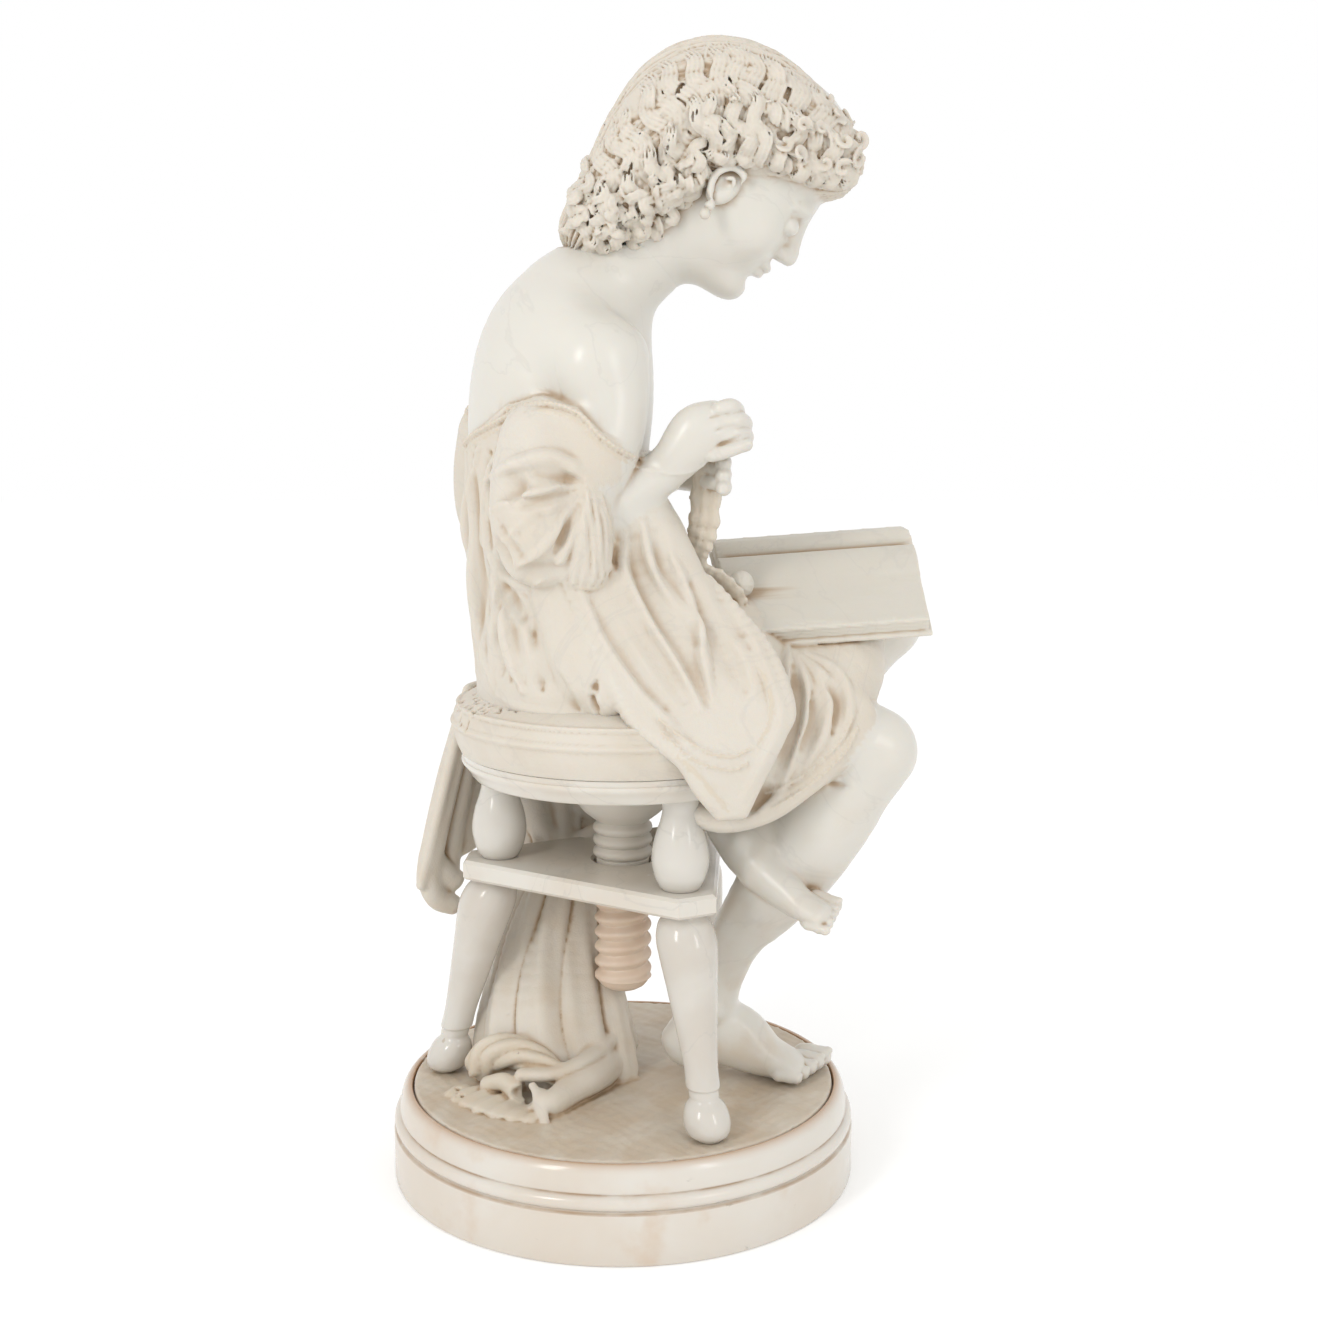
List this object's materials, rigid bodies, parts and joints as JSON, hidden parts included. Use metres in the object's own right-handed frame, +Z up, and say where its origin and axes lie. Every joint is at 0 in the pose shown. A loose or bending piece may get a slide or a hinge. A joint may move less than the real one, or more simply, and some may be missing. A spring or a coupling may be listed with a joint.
{
  "type": "classical marble statue",
  "caption": "Carved stone figure of a seated girl bent over needlework, with an open book on the lap, on a screw stool and a round moulded plinth.",
  "frame": {"origin": "middle of the plinth's flat underside", "axes": "+Z up; +X the way the girl faces; +Y her left side"},
  "size_m": [0.344, 0.3, 0.7177],
  "materials": {
    "plinth_stone": "polished pale marble, stained brown along its joints",
    "carved_stone": "pale marble, skin polished, cloth and hair tooled matte",
    "turned_stone": "polished white marble",
    "screw_stone": "satin peach-coloured marble"
  },
  "bodies": {
    "root": {"plinth": "plinth_stone", "statue": "carved_stone", "stool_seat_board": "turned_stone", "stool_shelf": "turned_stone", "stool_screw": "screw_stone", "stool_leg_upper_1": "turned_stone", "stool_leg_upper_2": "turned_stone", "stool_leg_upper_3": "turned_stone", "stool_leg_lower_1": "turned_stone", "stool_leg_lower_2": "turned_stone", "stool_leg_lower_3": "turned_stone"}
  },
  "joints": []
}
